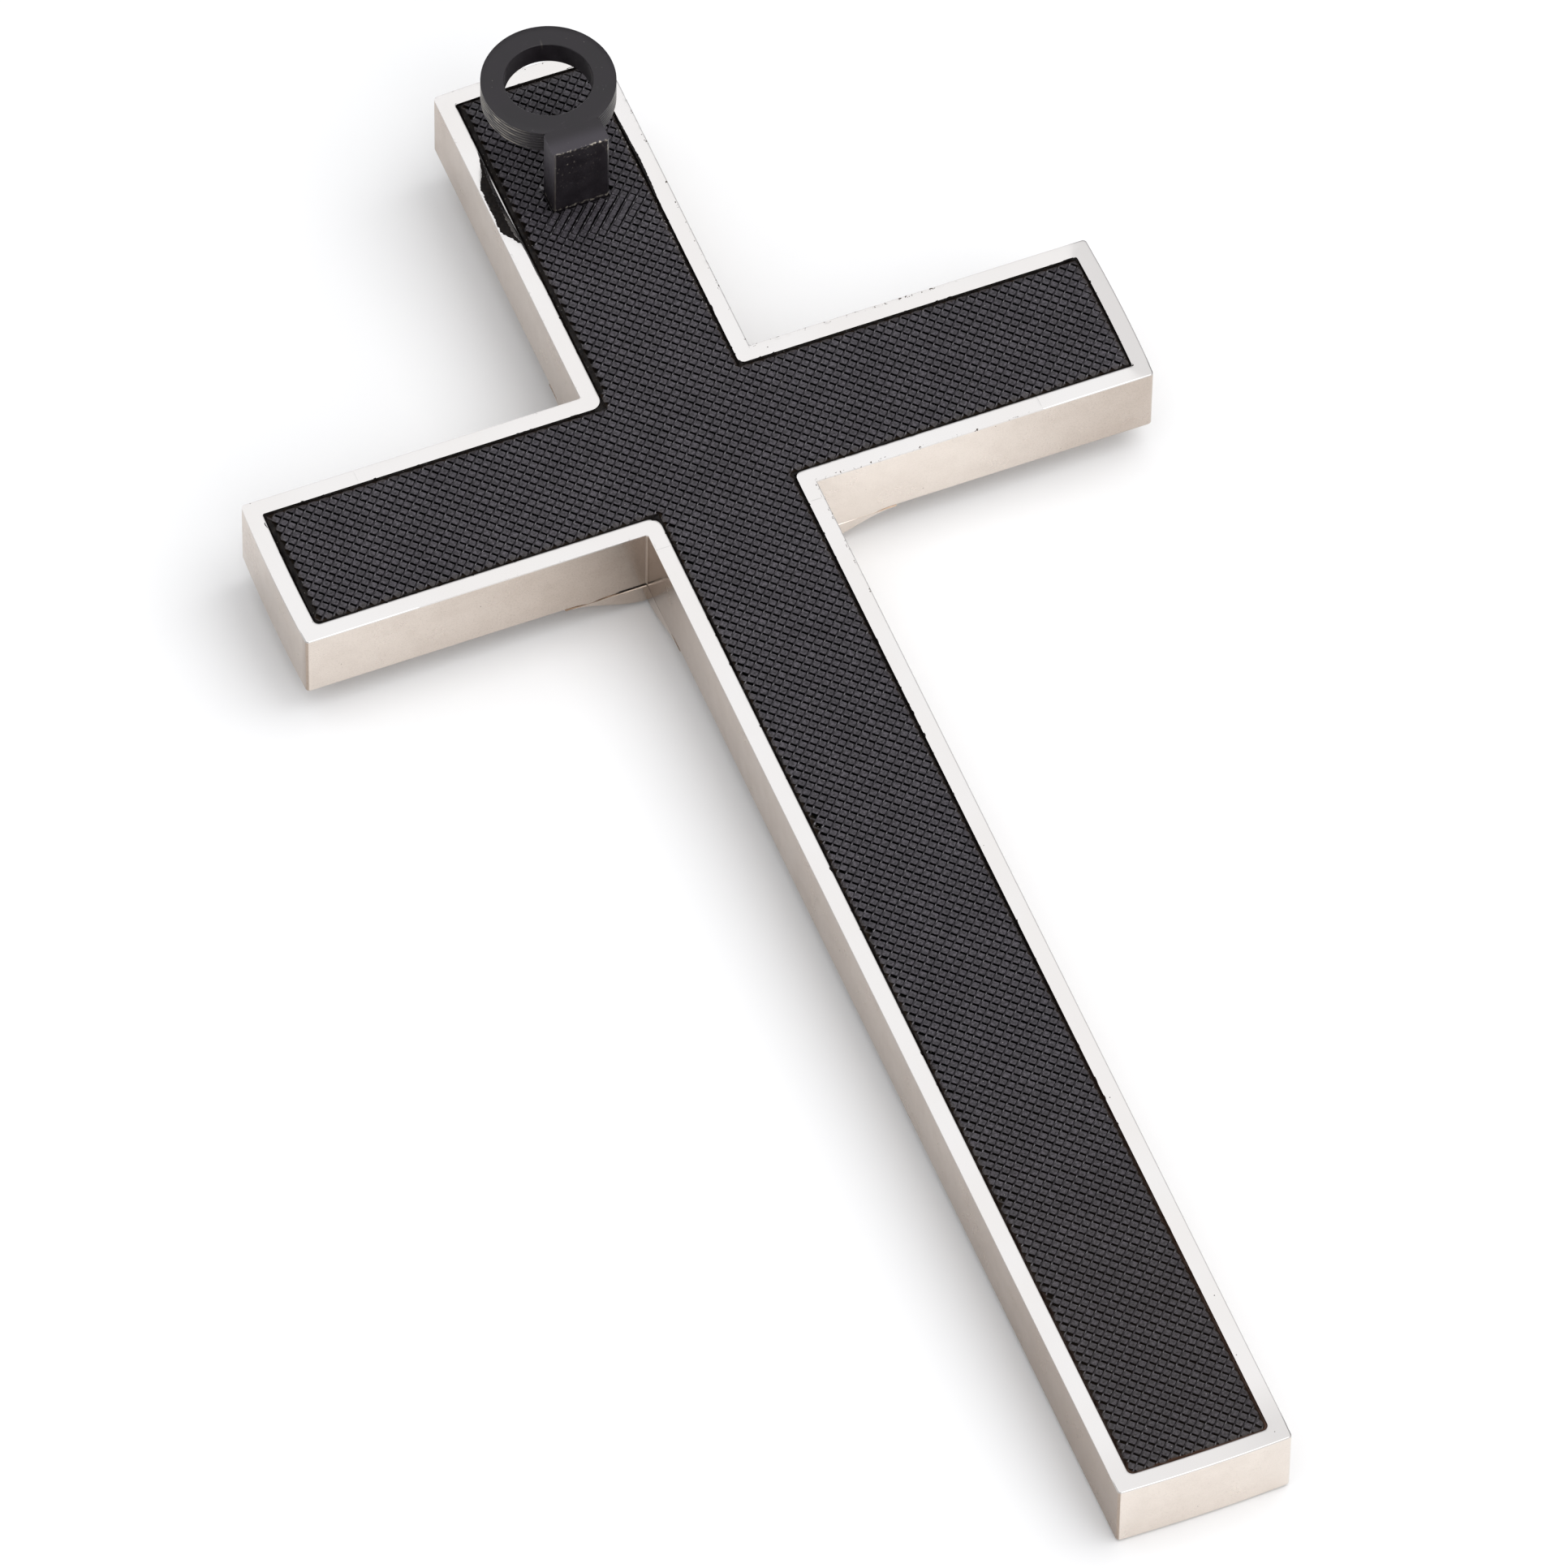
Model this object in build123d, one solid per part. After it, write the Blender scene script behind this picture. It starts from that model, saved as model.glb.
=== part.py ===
"""Plated Latin cross that hangs on a wall, lying on its face.

A metal edge band in four bent lengths is soldered round a front plate. A filler of two halved boards sits
in that tray, an embossed rubber panel is cemented over the filler, and a ring on a short post stands out of
the back.

Frame: millimetres, +X across the arms, +Y up the shaft towards the hanging ring, +Z out of the back.
The origin is the bottom centre of the whole cross: the boss's apex is at Z = 0.
"""
import os

from build123d import *

# Driving dimensions: the cross outline
BAR = 30.0            # width of the arms and of the shaft
SPAN = 151.0          # from arm end to arm end
HEAD = 82.5           # from the crossing's centre to the top end
FOOT = 218.0          # from the crossing's centre to the foot
DEPTH = 14.2          # from the front face to the rim at the back

# Edge band and front plate
BAND_T = 2.9          # thickness of the bent strip, which is the width of the rim
CORNER_R = 0.6        # convex outer corners
FRONT_EDGE_R = 0.8    # dressed edge round the front
END_INNER_R = 1.0     # inside corners at the ends of the arms
CROSS_INNER_R = 2.0   # back of the bends at the crossing
ARM_SEAM_X = 55.3     # butt seams on the arms, from the centre line
SHAFT_SEAM = 18.4     # butt seams on the shaft, below the crossing's centre
FRONT_T = 1.2

# Boss on the front of the crossing
BOSS_R = 29.3
BOSS_H = 5.3
BOSS_EDGE_R = 1.9     # rounding at the boss's rim

# Back panel, cement and filler
PANEL_T = 2.0
PANEL_PROUD = 0.2     # tops of the tiles above the rim
PANEL_GAP = 0.45      # open joint between the panel and the band
CEMENT_T = 0.3        # bed under the panel
CEMENT_LOW = 0.6      # top of the cement bead, below the rim
CORE_GAP = 0.2

# Hanger
RING_OD = 22.7
RING_BORE = 14.8
RING_T = 4.6
RING_UP = 67.7        # ring centre above the crossing's centre
POST_W = 10.0
POST_D = 5.0
POST_FRONT = 52.5     # lower face of the post above the crossing's centre
POST_EDGE = 0.4       # bevel on the post's long edges
HANGER_H = 15.3       # top of the ring above the rim
POST_SLIP = 0.15      # clearance round the post in the panel

# Anchor plate and screws
PLATE_W = 20.0
PLATE_L = 36.0
PLATE_T = 1.5
PLATE_SLIP = 0.2
PLATE_SCREW_X = 6.8
PLATE_SCREW_Y = 14.0
WOOD_SCREW_D = 2.5
WOOD_SCREW_L = 9.0
POST_SCREW_D = 2.5
POST_SCREW_L = 8.5
POST_SCREW_X = 2.5
CSK_D = 4.5           # head of both countersunk sizes
CSK_T = 1.3
BOSS_SCREW_D = 3.0
BOSS_SCREW_X = 11.0
BOSS_SCREW_DEEP = 3.4
PAN_D = 5.6
PAN_T = 2.0
HEAD_ROOM = 0.2       # clearance round the pan heads in the filler

# Levels and places worked out from them
CROSS_Y = (FOOT - HEAD) / 2
FRONT_Z = BOSS_H
RIM_Z = FRONT_Z + DEPTH
PANEL_TOP = RIM_Z + PANEL_PROUD
PANEL_BOTTOM = PANEL_TOP - PANEL_T
CORE_TOP = PANEL_BOTTOM - CEMENT_T
CORE_BOTTOM = FRONT_Z + FRONT_T
LAP_Z = (CORE_TOP + CORE_BOTTOM) / 2
CORE_HALF = BAR / 2 - BAND_T - CORE_GAP
HANGER_TOP = RIM_Z + HANGER_H
RING_Y = CROSS_Y + RING_UP
POST_Y = CROSS_Y + POST_FRONT + POST_D / 2
BIG = 2 * (HEAD + FOOT)
OVERCUT = 1.0         # how far cutting bodies run past what they cut
CLOSE = 0.01          # tolerance for picking corners


def cross_face(inset=0.0, end_r=0.0, crossing_r=0.0):
    """Cross outline drawn in from the outer edge by inset, with its end and crossing corners rounded."""
    half = BAR / 2 - inset
    arm = SPAN / 2 - inset
    top = CROSS_Y + HEAD - inset
    foot = CROSS_Y - FOOT + inset
    upper = CROSS_Y + half
    lower = CROSS_Y - half
    right_side = [(half, top), (half, upper), (arm, upper), (arm, lower), (half, lower), (half, foot)]
    left_side = [(-x, y) for x, y in reversed(right_side)]
    face = Sketch() + make_face(Polyline(*right_side, *left_side, close=True))

    def at_crossing(corner):
        return abs(corner.X) < half + CLOSE and lower - CLOSE < corner.Y < upper + CLOSE

    if end_r:
        face = fillet([v for v in face.vertices() if not at_crossing(v)], end_r)
    if crossing_r:
        face = fillet([v for v in face.vertices() if at_crossing(v)], crossing_r)
    return face


def slab(face, low, high):
    """Solid over a face drawn at Z = 0, from one level to another."""
    return extrude(Pos(0, 0, low) * face, high - low)


def block(x0, x1, y0, y1, z0, z1):
    """Box between two corners."""
    centre = Pos((x0 + x1) / 2, (y0 + y1) / 2, (z0 + z1) / 2)
    return centre * Box(x1 - x0, y1 - y0, z1 - z0)


def rod(diameter, low, high, x, y):
    """Upright cylinder between two levels."""
    return Pos(x, y, (low + high) / 2) * Cylinder(diameter / 2, high - low)


def cone(low_d, high_d, low, high, x, y):
    """Upright cone between two levels."""
    return Pos(x, y, (low + high) / 2) * Cone(low_d / 2, high_d / 2, high - low)


def band_ring():
    """Whole edge band before it is cut into lengths, its front edge dressed round."""
    outer = slab(cross_face(0, CORNER_R, CORNER_R), FRONT_Z, RIM_Z)
    outer = fillet(outer.edges().group_by(Axis.Z)[0], FRONT_EDGE_R)
    inner = slab(cross_face(BAND_T, END_INNER_R, CROSS_INNER_R), FRONT_Z - OVERCUT, RIM_Z + OVERCUT)
    return outer - inner


def bands():
    """The four lengths of band, parted at the butt seams."""
    ring = band_ring()
    seam_y = CROSS_Y - SHAFT_SEAM
    low, high = FRONT_Z - OVERCUT, RIM_Z + OVERCUT
    above = block(-ARM_SEAM_X, BIG, CROSS_Y, BIG, low, high)
    right_end = block(ARM_SEAM_X, BIG, -BIG, CROSS_Y + OVERCUT, low, high)
    left_end = block(-BIG, -ARM_SEAM_X, CROSS_Y, BIG, low, high)
    below_right = block(0, ARM_SEAM_X, seam_y, CROSS_Y, low, high)
    below_left = block(-BIG, 0, seam_y, CROSS_Y, low, high)
    shaft = block(-BIG, BIG, -BIG, seam_y, low, high)
    return {
        "band_upper": ring & (above + right_end),
        "band_right": ring & below_right,
        "band_foot": ring & shaft,
        "band_left": ring & (below_left + left_end),
    }


def boss_screw_places():
    return [(-BOSS_SCREW_X, CROSS_Y), (BOSS_SCREW_X, CROSS_Y)]


def front_plate():
    """Sheet let in flush between the bands at the front."""
    plate = slab(cross_face(BAND_T, END_INNER_R, CROSS_INNER_R), FRONT_Z, CORE_BOTTOM)
    for x, y in boss_screw_places():
        plate -= rod(BOSS_SCREW_D, FRONT_Z, CORE_BOTTOM, x, y)
    return plate


def boss_profile():
    """Half section of the dome: a wide crown arc that runs tangent into a small edge arc."""
    run = BOSS_R - BOSS_EDGE_R
    crown_r = (run**2 + BOSS_H**2 - BOSS_EDGE_R**2) / (2 * (BOSS_H - BOSS_EDGE_R))
    to_edge = Vector(run, BOSS_H - crown_r).normalized()
    meet = Vector(run, 0) + to_edge * BOSS_EDGE_R
    crown = TangentArc((0, -BOSS_H), meet, tangent=(1, 0))
    edge = TangentArc((BOSS_R, 0), meet, tangent=(0, -1))
    flat = Line((BOSS_R, 0), (0, 0))
    axis = Line((0, 0), (0, -BOSS_H))
    return make_face([crown, edge, flat, axis])


def centre_boss():
    """Low dome cut to the cross outline, with two tapped holes in its flat side."""
    dome = Pos(0, CROSS_Y, FRONT_Z) * revolve(Plane.XZ * boss_profile(), Axis.Z)
    boss = dome & slab(cross_face(0, 0, CORNER_R), -OVERCUT, FRONT_Z + OVERCUT)
    for x, y in boss_screw_places():
        boss -= rod(BOSS_SCREW_D, FRONT_Z - BOSS_SCREW_DEEP, FRONT_Z, x, y)
    return boss


def boss_screw(x, y):
    """Pan-head screw whose head bears on the inside of the front plate."""
    shank = rod(BOSS_SCREW_D, FRONT_Z - BOSS_SCREW_DEEP, CORE_BOTTOM, x, y)
    return shank + rod(PAN_D, CORE_BOTTOM, CORE_BOTTOM + PAN_T, x, y)


def core_upright():
    """Long board of the filler: lower lap cut away at the crossing, pocket for the anchor plate."""
    foot = CROSS_Y - FOOT + BAND_T + CORE_GAP
    top = CROSS_Y + HEAD - BAND_T - CORE_GAP
    board = block(-CORE_HALF, CORE_HALF, foot, top, CORE_BOTTOM, CORE_TOP)
    board = fillet(board.edges().filter_by(Axis.Z), END_INNER_R)
    board -= block(-BIG, BIG, CROSS_Y - CORE_HALF, CROSS_Y + CORE_HALF, 0, LAP_Z)
    wide = PLATE_W / 2 + PLATE_SLIP
    long = PLATE_L / 2 + PLATE_SLIP
    board -= block(-wide, wide, POST_Y - long, POST_Y + long, CORE_TOP - PLATE_T, CORE_TOP)
    for x, y in plate_screw_places():
        board -= rod(WOOD_SCREW_D, CORE_TOP - WOOD_SCREW_L, CORE_TOP, x, y)
    return board


def core_crossbar():
    """Short board of the filler: upper lap cut away at the crossing, recesses for the boss screw heads."""
    arm = SPAN / 2 - BAND_T - CORE_GAP
    board = block(-arm, arm, CROSS_Y - CORE_HALF, CROSS_Y + CORE_HALF, CORE_BOTTOM, CORE_TOP)
    board = fillet(board.edges().filter_by(Axis.Z), END_INNER_R)
    board -= block(-CORE_HALF, CORE_HALF, -BIG, BIG, LAP_Z, CORE_TOP)
    for x, y in boss_screw_places():
        board -= rod(PAN_D + 2 * HEAD_ROOM, CORE_BOTTOM, CORE_BOTTOM + PAN_T + HEAD_ROOM, x, y)
    return board


def post_hole(low, high):
    """Slot that the post passes through, with a slip fit."""
    wide = POST_W / 2 + POST_SLIP
    deep = POST_D / 2 + POST_SLIP
    return block(-wide, wide, POST_Y - deep, POST_Y + deep, low, high)


def back_panel():
    """Rubber sheet to the tops of its tiles."""
    sheet = slab(cross_face(BAND_T + PANEL_GAP, END_INNER_R, 0), PANEL_BOTTOM, PANEL_TOP)
    return sheet - post_hole(PANEL_BOTTOM, PANEL_TOP)


def adhesive_bed():
    """Cement under the panel, squeezed up into the joint round it."""
    cement = slab(cross_face(BAND_T, END_INNER_R, CROSS_INNER_R), CORE_TOP, RIM_Z - CEMENT_LOW)
    cement -= slab(cross_face(BAND_T + PANEL_GAP, END_INNER_R, 0), PANEL_BOTTOM, PANEL_TOP)
    return cement - post_hole(CORE_TOP, PANEL_TOP)


def hanger_ring():
    """Short turned tube, square to the back."""
    outer = rod(RING_OD, HANGER_TOP - RING_T, HANGER_TOP, 0, RING_Y)
    return outer - rod(RING_BORE, HANGER_TOP - RING_T, HANGER_TOP, 0, RING_Y)


def hanger_post():
    """Bar that stands on the anchor plate, coped to the ring at the top."""
    post = Pos(0, POST_Y, (CORE_TOP + HANGER_TOP) / 2) * Box(POST_W, POST_D, HANGER_TOP - CORE_TOP)
    post = chamfer(post.edges().filter_by(Axis.Z), POST_EDGE)
    post -= rod(RING_OD, HANGER_TOP - RING_T, HANGER_TOP, 0, RING_Y)
    tapped = CORE_TOP - PLATE_T + POST_SCREW_L
    for x, y in post_screw_places():
        post -= rod(POST_SCREW_D, CORE_TOP, tapped, x, y)
    return post


def post_screw_places():
    return [(-POST_SCREW_X, POST_Y), (POST_SCREW_X, POST_Y)]


def plate_screw_places():
    ys = (POST_Y - PLATE_SCREW_Y, POST_Y + PLATE_SCREW_Y)
    return [(x, y) for x in (-PLATE_SCREW_X, PLATE_SCREW_X) for y in ys]


def post_screw(x, y):
    """Screw driven from under the anchor plate."""
    under = CORE_TOP - PLATE_T
    head = cone(CSK_D, POST_SCREW_D, under, under + CSK_T, x, y)
    return head + rod(POST_SCREW_D, under + CSK_T, under + POST_SCREW_L, x, y)


def plate_screw(x, y):
    """Wood screw driven from the back."""
    head = cone(WOOD_SCREW_D, CSK_D, CORE_TOP - CSK_T, CORE_TOP, x, y)
    return head + rod(WOOD_SCREW_D, CORE_TOP - WOOD_SCREW_L, CORE_TOP - CSK_T, x, y)


def group(make, places):
    """Identical fasteners kept as separate solids in one node."""
    return Compound(children=[make(x, y).solid() for x, y in places])


def anchor_plate():
    """Steel plate let into the filler, countersunk from both sides."""
    wide, long = PLATE_W / 2, PLATE_L / 2
    plate = block(-wide, wide, POST_Y - long, POST_Y + long, CORE_TOP - PLATE_T, CORE_TOP)
    for x, y in post_screw_places():
        plate -= post_screw(x, y)
    for x, y in plate_screw_places():
        plate -= plate_screw(x, y)
    return plate


def parts():
    pieces = bands()
    pieces["front_plate"] = front_plate()
    pieces["centre_boss"] = centre_boss()
    pieces["boss_screws"] = group(boss_screw, boss_screw_places())
    pieces["core_upright"] = core_upright()
    pieces["core_crossbar"] = core_crossbar()
    pieces["anchor_plate"] = anchor_plate()
    pieces["plate_screws"] = group(plate_screw, plate_screw_places())
    pieces["post_screws"] = group(post_screw, post_screw_places())
    pieces["adhesive_bed"] = adhesive_bed()
    pieces["back_panel"] = back_panel()
    pieces["hanger_post"] = hanger_post()
    pieces["hanger_ring"] = hanger_ring()
    return pieces


def main():
    os.makedirs("parts", exist_ok=True)
    for name, piece in parts().items():
        export_step(piece, os.path.join("parts", name + ".step"))


main()
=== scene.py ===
"""Looks of the plated wall cross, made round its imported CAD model.

Everything is in metres in the part's own frame: +X across the arms, +Y up the shaft to the ring, +Z out of
the back. The cross lies on its face, so the boss's apex is at Z = 0 and the embossed panel looks up.
"""

import math

import bmesh
import bpy
import numpy as np
from mathutils import Matrix, Vector, noise


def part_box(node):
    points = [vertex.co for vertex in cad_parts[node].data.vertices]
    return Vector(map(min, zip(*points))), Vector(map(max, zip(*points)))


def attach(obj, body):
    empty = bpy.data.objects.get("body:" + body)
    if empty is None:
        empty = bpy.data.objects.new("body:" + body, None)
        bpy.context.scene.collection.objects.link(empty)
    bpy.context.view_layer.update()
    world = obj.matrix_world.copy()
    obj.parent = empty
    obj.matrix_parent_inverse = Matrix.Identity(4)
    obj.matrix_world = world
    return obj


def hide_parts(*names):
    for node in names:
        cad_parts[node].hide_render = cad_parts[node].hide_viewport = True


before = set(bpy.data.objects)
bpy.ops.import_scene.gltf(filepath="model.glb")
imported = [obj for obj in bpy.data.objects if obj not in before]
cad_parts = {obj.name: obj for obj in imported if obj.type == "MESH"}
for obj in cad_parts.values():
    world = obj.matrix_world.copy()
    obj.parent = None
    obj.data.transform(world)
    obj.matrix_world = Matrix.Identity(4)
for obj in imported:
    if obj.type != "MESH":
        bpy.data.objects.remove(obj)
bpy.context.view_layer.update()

MM = 0.001

# Places read from the frame
ARM_X, TOP_Y, RIM_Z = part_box("band_upper")[1]
FOOT_LOW, FOOT_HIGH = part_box("band_foot")
PLATE_LOW, PLATE_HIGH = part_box("front_plate")
PANEL_LOW, PANEL_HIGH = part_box("back_panel")
RING_LOW, RING_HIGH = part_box("hanger_ring")
POST_LOW, POST_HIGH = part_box("hanger_post")
HALF_BAR = FOOT_HIGH.x
FOOT_Y = FOOT_LOW.y
CROSS_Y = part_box("band_left")[1].y - HALF_BAR
SEAM_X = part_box("band_right")[1].x
SEAM_Y = FOOT_HIGH.y
FRONT_Z = PLATE_LOW.z
BAND_T = ARM_X - PLATE_HIGH.x
PANEL_INSET = ARM_X - PANEL_HIGH.x
POST_Y = (POST_LOW.y + POST_HIGH.y) / 2
RING_Y = (RING_LOW.y + RING_HIGH.y) / 2

# Corner radii of the outlines by corner kind: foot, other ends, left and right of the crossing
BAND_OUTER_RADII = (0.6 * MM, 0.6 * MM, 0.4 * MM, 0.15 * MM)
BAND_INNER_RADII = (1.0 * MM, 0.35 * MM, 2.0 * MM, 1.2 * MM)
PANEL_RADII = (1.0 * MM, 0.35 * MM, 0.02 * MM, 0.02 * MM)

# Edge band
END_BOW = 0.35 * MM
FRONT_EDGE_R = 0.8 * MM
RIM_EDGE_R = 0.32 * MM
INNER_EDGE_R = 0.07 * MM
STATION = 0.42 * MM
BEAD_STATION = 0.4 * MM
SEAM_EASE = 0.03 * MM
SEAM_DIP = 0.01 * MM
ROLL_OFF = 0.015 * MM
ROLL_WIDTH = 0.6 * MM

# Embossing on the panel
PITCH = 1.43 * MM
TILE = 1.06 * MM
TILE_HEIGHT = 0.4 * MM
BORDER = 0.6 * MM
LEFT_MARGIN = 0.5 * MM
GROOVE_Z = PANEL_HIGH.z - TILE_HEIGHT - 0.02 * MM
HOLE_GAP = 0.15 * MM
CELL_REACH = 1.05 * MM
CUT_TOLERANCE = 1e-7

# Hanger
RING_R = (RING_HIGH.x - RING_LOW.x) / 2
BORE_R = 7.4 * MM
POST_BEVEL = 0.42 * MM

# Boss on the front
BOSS_FOOT_R = 33.0 * MM
BOSS_SHOULDER_R = 22.0 * MM
BOSS_CROWN_R = 168.0 * MM
BOSS_SETBACK = 0.03 * MM
BOSS_BREAK = 0.14 * MM

# Camera: where it looks, from where, and its lens on a 36 mm sensor
AIM = Vector((-12.9 * MM, -2.1 * MM, RIM_Z))
CAMERA_AZIMUTH = math.radians(-22.726)
CAMERA_ELEVATION = math.radians(54.569)
CAMERA_ROLL = math.radians(1.026)
CAMERA_DISTANCE = 3.1728
CAMERA_LENS = 447.2

# Studio
WORLD_BASE = 0.29
KEY_PLACE = Vector((0.72, -0.05, 1.5))
KEY_SIZE = 1.25
KEY_POWER = 8.5
FLOOR_REACH = 3.0
FLOOR_CELLS = 24


# ---- small helpers

def ease(low, high, value):
    """0 below low, 1 above high and a smooth climb between."""
    share = min(max((value - low) / (high - low), 0.0), 1.0)
    return share * share * (3 - 2 * share)


def climb(low, high, value):
    """The same for a value in metres between two lengths in mm."""
    return ease(low * MM, high * MM, value)


def ripple(place, size, seed):
    """Smooth noise from -1 to 1 with features of about that size."""
    x, y, z = (part / size for part in place)
    return noise.noise(Vector((x + seed, y - seed, z + 0.37 * seed)))


def new_mesh(name, points, faces):
    mesh = bpy.data.meshes.new(name)
    mesh.from_pydata(points, [], faces)
    return mesh


def new_object(name, data):
    made = bpy.data.objects.new(name, data)
    bpy.context.scene.collection.objects.link(made)
    return made


def new_piece(mesh, finish, replaced=(), crease=35.0):
    """Makes a mesh a piece of the object, riding on its one body."""
    mesh.shade_smooth()
    mesh.set_sharp_from_angle(angle=math.radians(crease))
    mesh.materials.append(finish)
    piece = new_object(mesh.name, mesh)
    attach(piece, "root")
    if replaced:
        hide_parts(*replaced)
    return piece


def marked_mesh(name, points, faces, **marks):
    mesh = new_mesh(name, points, faces)
    mesh.validate()
    store(mesh, **marks)
    return mesh


def keep_flat(piece):
    """Stops round edges from shading the flat faces beside them."""
    piece.modifiers.new("flat faces stay flat", "WEIGHTED_NORMAL").keep_sharp = True


def store(mesh, **marks):
    """Keeps numbers for each point, for the material to read."""
    for name, values in marks.items():
        mesh.attributes.new(name, "FLOAT", "POINT").data.foreach_set("value", np.array(values, np.float32))


def grid_faces(rows, columns, first=0, close_columns=False, close_rows=False, flip=False):
    """Quads between consecutive rows of points."""
    faces = []
    for row in range(rows if close_rows else rows - 1):
        here = first + row * columns
        there = first + (row + 1) % rows * columns
        for column in range(columns if close_columns else columns - 1):
            after = (column + 1) % columns
            face = (here + column, here + after, there + after, there + column)
            faces.append(face[::-1] if flip else face)
    return faces


def upright_planes(xs, ys):
    """Planes square to X and to Y, each a point and a normal."""
    return [((x, 0, 0), (1, 0, 0)) for x in xs] + [((0, y, 0), (0, 1, 0)) for y in ys]


def cut_along(bm, items, plane):
    """Cuts some of a mesh along a plane."""
    point, normal = plane
    return bmesh.ops.bisect_plane(bm, geom=items, plane_co=point, plane_no=normal, dist=CUT_TOLERANCE)["geom"]


def delete_faces(bm, unwanted):
    """Deletes the faces whose middle is unwanted."""
    outside = [face for face in bm.faces if unwanted(face.calc_center_median())]
    bmesh.ops.delete(bm, geom=outside, context="FACES")


def open_edges(items):
    return [item for item in items if isinstance(item, bmesh.types.BMEdge) and len(item.link_faces) == 1]


def extrude(bm, edges):
    """Extrudes edges in place. Returns the new points and open edges."""
    made = bmesh.ops.extrude_edge_only(bm, edges=edges)["geom"]
    return [item for item in made if isinstance(item, bmesh.types.BMVert)], open_edges(made)


def close_mesh(bm, hem, mesh):
    """Fills a hem and writes the result to a mesh."""
    bmesh.ops.triangle_fill(bm, edges=hem, use_beauty=False)
    bmesh.ops.recalc_face_normals(bm, faces=bm.faces)
    bm.to_mesh(mesh)
    bm.free()


# ---- cross outline

def cross_corners(inset):
    """Corners of the outline drawn in by inset, anticlockwise from the top left."""
    half, arm = HALF_BAR - inset, ARM_X - inset
    top, foot = TOP_Y - inset, FOOT_Y + inset
    upper, lower = CROSS_Y + half, CROSS_Y - half
    left = [(-half, top), (-half, upper), (-arm, upper), (-arm, lower), (-half, lower), (-half, foot)]
    right = [(-x, y) for x, y in reversed(left)]
    return [Vector(corner) for corner in left + right]


def corner_kind(k):
    """0 at the foot and the left arm's lower corner, 1 at other ends, 2 and 3 at the crossing's sides."""
    if k in (3, 5, 6):
        return 0
    if k % 3 == 1:
        return 2 if k < 6 else 3
    return 1


def corner_arc(corner, before, after, radius, steps):
    """Points round a corner, from one side to the next."""
    centre = corner + (after - before) * radius
    angles = [math.pi / 2 * step / steps for step in range(steps + 1)]
    return [centre + (before * math.sin(a) - after * math.cos(a)) * radius for a in angles]


def side_pairs(sides, cuts, spacing):
    """Pairs of points along two sides, eased at the ends. A seam leaves None between two equal pairs."""
    direction = (sides[0][1] - sides[0][0]).normalized()
    start = max(side[0] @ direction for side in sides) + MM
    end = min(side[1] @ direction for side in sides) - MM
    bases = [side[0] - direction * (side[0] @ direction) for side in sides]
    count = max(2, round((end - start) / spacing))
    places = [(start + (end - start) * step / count, False) for step in range(count + 1)]
    for seam in cuts:
        places = [p for p in places if abs(p[0] - seam) > 2 * SEAM_EASE]
        places += [(seam - SEAM_EASE, False), (seam, True), (seam + SEAM_EASE, False)]

    def eased(k, limit, step):
        return [side[k] + direction * (limit - side[k] @ direction) * step / 3 for side in sides]

    pairs = [eased(0, start, step) for step in (1, 2)]
    for place, is_seam in sorted(places):
        pair = [base + direction * place for base in bases]
        pairs += [pair, None, pair] if is_seam else [pair]
    return pairs + [eased(1, end, step) for step in (2, 1)]


def outline_pairs(insets, radii, seams=(), spacing=STATION, steps=8):
    """Pairs of points all round an outer and an inner outline. Radii are by corner kind."""
    outlines = [cross_corners(inset) for inset in insets]
    count = len(outlines[0])
    pairs = []
    for k in range(count):
        corner, following = outlines[0][k], outlines[0][(k + 1) % count]
        before = (corner - outlines[0][k - 1]).normalized()
        after = (following - corner).normalized()
        kind, next_kind = corner_kind(k), corner_kind((k + 1) % count)
        sides, arcs = [], []
        for corners, radius in zip(outlines, radii):
            arcs.append(corner_arc(corners[k], before, after, radius[kind], steps))
            stop = corners[(k + 1) % count] - after * radius[next_kind]
            sides.append((corners[k] + after * radius[kind], stop))
        pairs += [list(pair) for pair in zip(*arcs)]
        across = Vector((after.y, -after.x))
        level = [seam @ after for seam in seams if abs((seam - corner) @ across) < 0.01 * MM]
        start, end = (point @ after for point in sides[0])
        pairs += side_pairs(sides, [place for place in level if start < place < end], spacing)
    return pairs


def inside_depth(x, y, inset):
    """How far points lie inside the outline drawn in by inset. It is negative outside."""
    half, arm = HALF_BAR - inset, ARM_X - inset
    shaft = np.minimum(half - np.abs(x), np.minimum(TOP_Y - inset - y, y - FOOT_Y - inset))
    bar = np.minimum(arm - np.abs(x), half - np.abs(y - CROSS_Y))
    return np.maximum(shaft, bar)


# ---- shader helpers

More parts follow.
